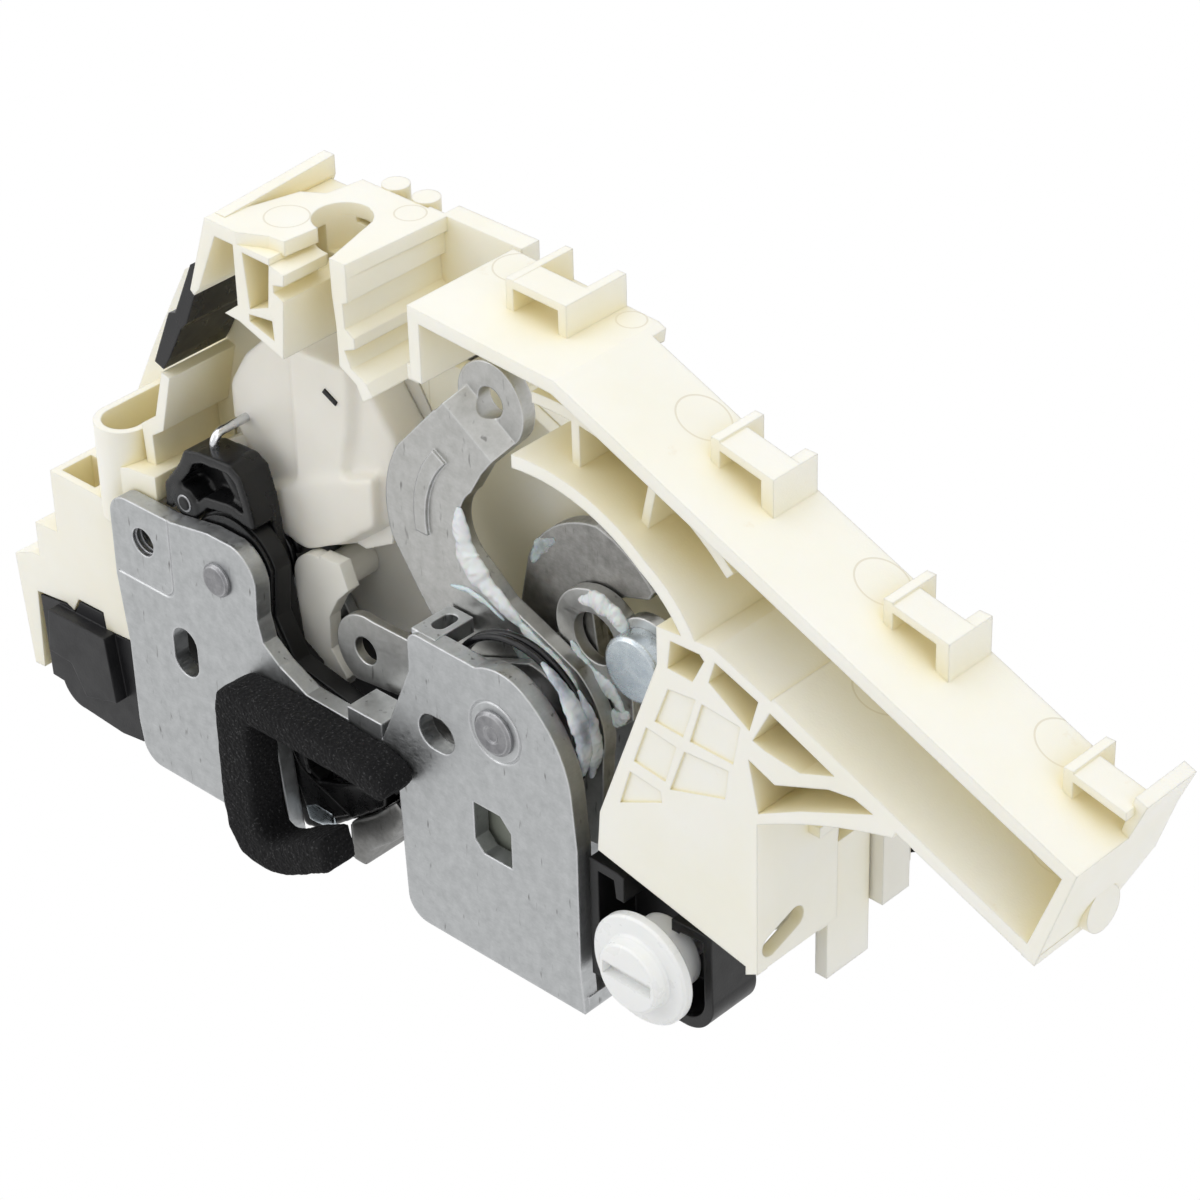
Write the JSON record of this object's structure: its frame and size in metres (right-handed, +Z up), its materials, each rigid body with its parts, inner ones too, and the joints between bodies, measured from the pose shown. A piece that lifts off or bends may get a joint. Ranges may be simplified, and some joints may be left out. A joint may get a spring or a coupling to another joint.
{
  "type": "door latch actuator",
  "caption": "Car door latch with power lock drive: steel striker plate with a foam-lined mouth, turning claw and pawl, stacked levers, and an ivory plastic guide arm.",
  "frame": {"origin": "middle of the fixing thread, on the front face of the striker plate", "axes": "+X along the plate towards the guide arm, +Y back into the latch, +Z up"},
  "size_m": [0.2251, 0.057, 0.1175],
  "materials": {
    "arm_plastic": "ivory moulded",
    "black_plastic": "satin moulded",
    "board_laminate": "green laminate",
    "bright_wire": "bright wire",
    "bumper_rubber": "soft moulded",
    "claw_cover_plastic": "moulded sleeve",
    "claw_steel": "satin hardened",
    "clip_plastic": "black moulded",
    "connector_plastic": "black moulded",
    "contact_metal": "tinned contacts",
    "cover_plastic": "black moulded",
    "dark_steel": "dark phosphated",
    "gear_plastic": "natural acetal",
    "ivory_plastic": "ivory moulded",
    "knob_plastic": "bright white",
    "lever_steel": "satin zinc plated, worn edges",
    "lock_plastic": "black moulded",
    "milky_plastic": "milky translucent",
    "motor_steel": "drawn can",
    "pin_steel": "bluish zinc, scratched",
    "plate_steel": "satin zinc plated",
    "rivet_steel": "turned, riveted over",
    "screw_steel": "zinc plated",
    "seal_foam": "open cell foam",
    "spring_wire": "drawn wire",
    "switch_plastic": "black moulded",
    "white_plastic": "white moulded",
    "worm_brass": "turned"
  },
  "bodies": {
    "housing": {"striker_plate": "plate_steel", "mouth_seal": "seal_foam", "mouth_guide": "black_plastic", "claw_pin": "rivet_steel", "pawl_pin": "rivet_steel", "back_plate": "plate_steel", "claw_spring": "spring_wire", "pawl_spring": "spring_wire", "lock_pin": "rivet_steel", "inner_cover": "milky_plastic", "main_case": "ivory_plastic", "cable_block": "ivory_plastic", "guide_arm": "arm_plastic", "lower_cover": "black_plastic", "connector_housing": "connector_plastic", "connector_pins": "contact_metal", "rear_cover": "cover_plastic", "motor": "motor_steel", "circuit_board": "board_laminate", "micro_switch_1": "switch_plastic", "micro_switch_2": "switch_plastic", "top_clip": "clip_plastic", "side_clip": "white_plastic", "claw_bumper": "bumper_rubber", "cover_screws": "screw_steel"},
    "claw_body": {"claw": "claw_steel", "claw_cover": "claw_cover_plastic"},
    "pawl_body": {"pawl": "lever_steel"},
    "release_body": {"release_lever": "lever_steel"},
    "eyelet_body": {"eyelet_lever": "lever_steel", "eyelet_pin": "pin_steel"},
    "hook_body": {"hook_lever": "dark_steel"},
    "lock_body": {"lock_lever": "lock_plastic", "link_wire": "bright_wire"},
    "output_body": {"output_lever": "white_plastic", "worm_wheel": "gear_plastic"},
    "worm_body": {"worm_shaft": "worm_brass"},
    "knob_body": {"child_lock_knob": "knob_plastic"}
  },
  "joints": [
    {"name": "claw_turn", "type": "hinge", "parent": "housing", "child": "claw_body", "pos_m": [0.0178, 0, 0.0007], "axis": [0, 1, 0], "range_deg": [0, 26]},
    {"name": "pawl_turn", "type": "hinge", "parent": "housing", "child": "pawl_body", "pos_m": [0.0782, 0, 0], "axis": [0, 1, 0], "range_deg": [-6, 12]},
    {"name": "release_turn", "type": "hinge", "parent": "housing", "child": "release_body", "pos_m": [0.0782, 0, 0], "axis": [0, 1, 0], "range_deg": [0, 9]},
    {"name": "eyelet_turn", "type": "hinge", "parent": "housing", "child": "eyelet_body", "pos_m": [0.0782, 0, 0], "axis": [0, 1, 0], "range_deg": [-8, 12]},
    {"name": "hook_turn", "type": "hinge", "parent": "housing", "child": "hook_body", "pos_m": [0.0782, 0, 0], "axis": [0, 1, 0], "range_deg": [-10, 10]},
    {"name": "lock_turn", "type": "hinge", "parent": "housing", "child": "lock_body", "pos_m": [0.0074, 0, 0.0089], "axis": [0, 1, 0], "range_deg": [-5, 0]},
    {"name": "output_turn", "type": "hinge", "parent": "housing", "child": "output_body", "pos_m": [0.0298, 0, 0.0004], "axis": [0, 1, 0], "range_deg": [-12, 12]},
    {"name": "worm_turn", "type": "hinge", "parent": "housing", "child": "worm_body", "pos_m": [0.0257, 0.0307, -0.0234], "axis": [1, 0, 0], "range_deg": [-250, 250]},
    {"name": "knob_turn", "type": "hinge", "parent": "housing", "child": "knob_body", "pos_m": [0.109, 0, -0.0266], "axis": [0, 1, 0], "range_deg": [0, 90]}
  ],
  "couplings": [
    {"joint": "hook_turn", "follows": "eyelet_turn", "ratio": 0.8},
    {"joint": "worm_turn", "follows": "output_turn", "ratio": 20}
  ]
}
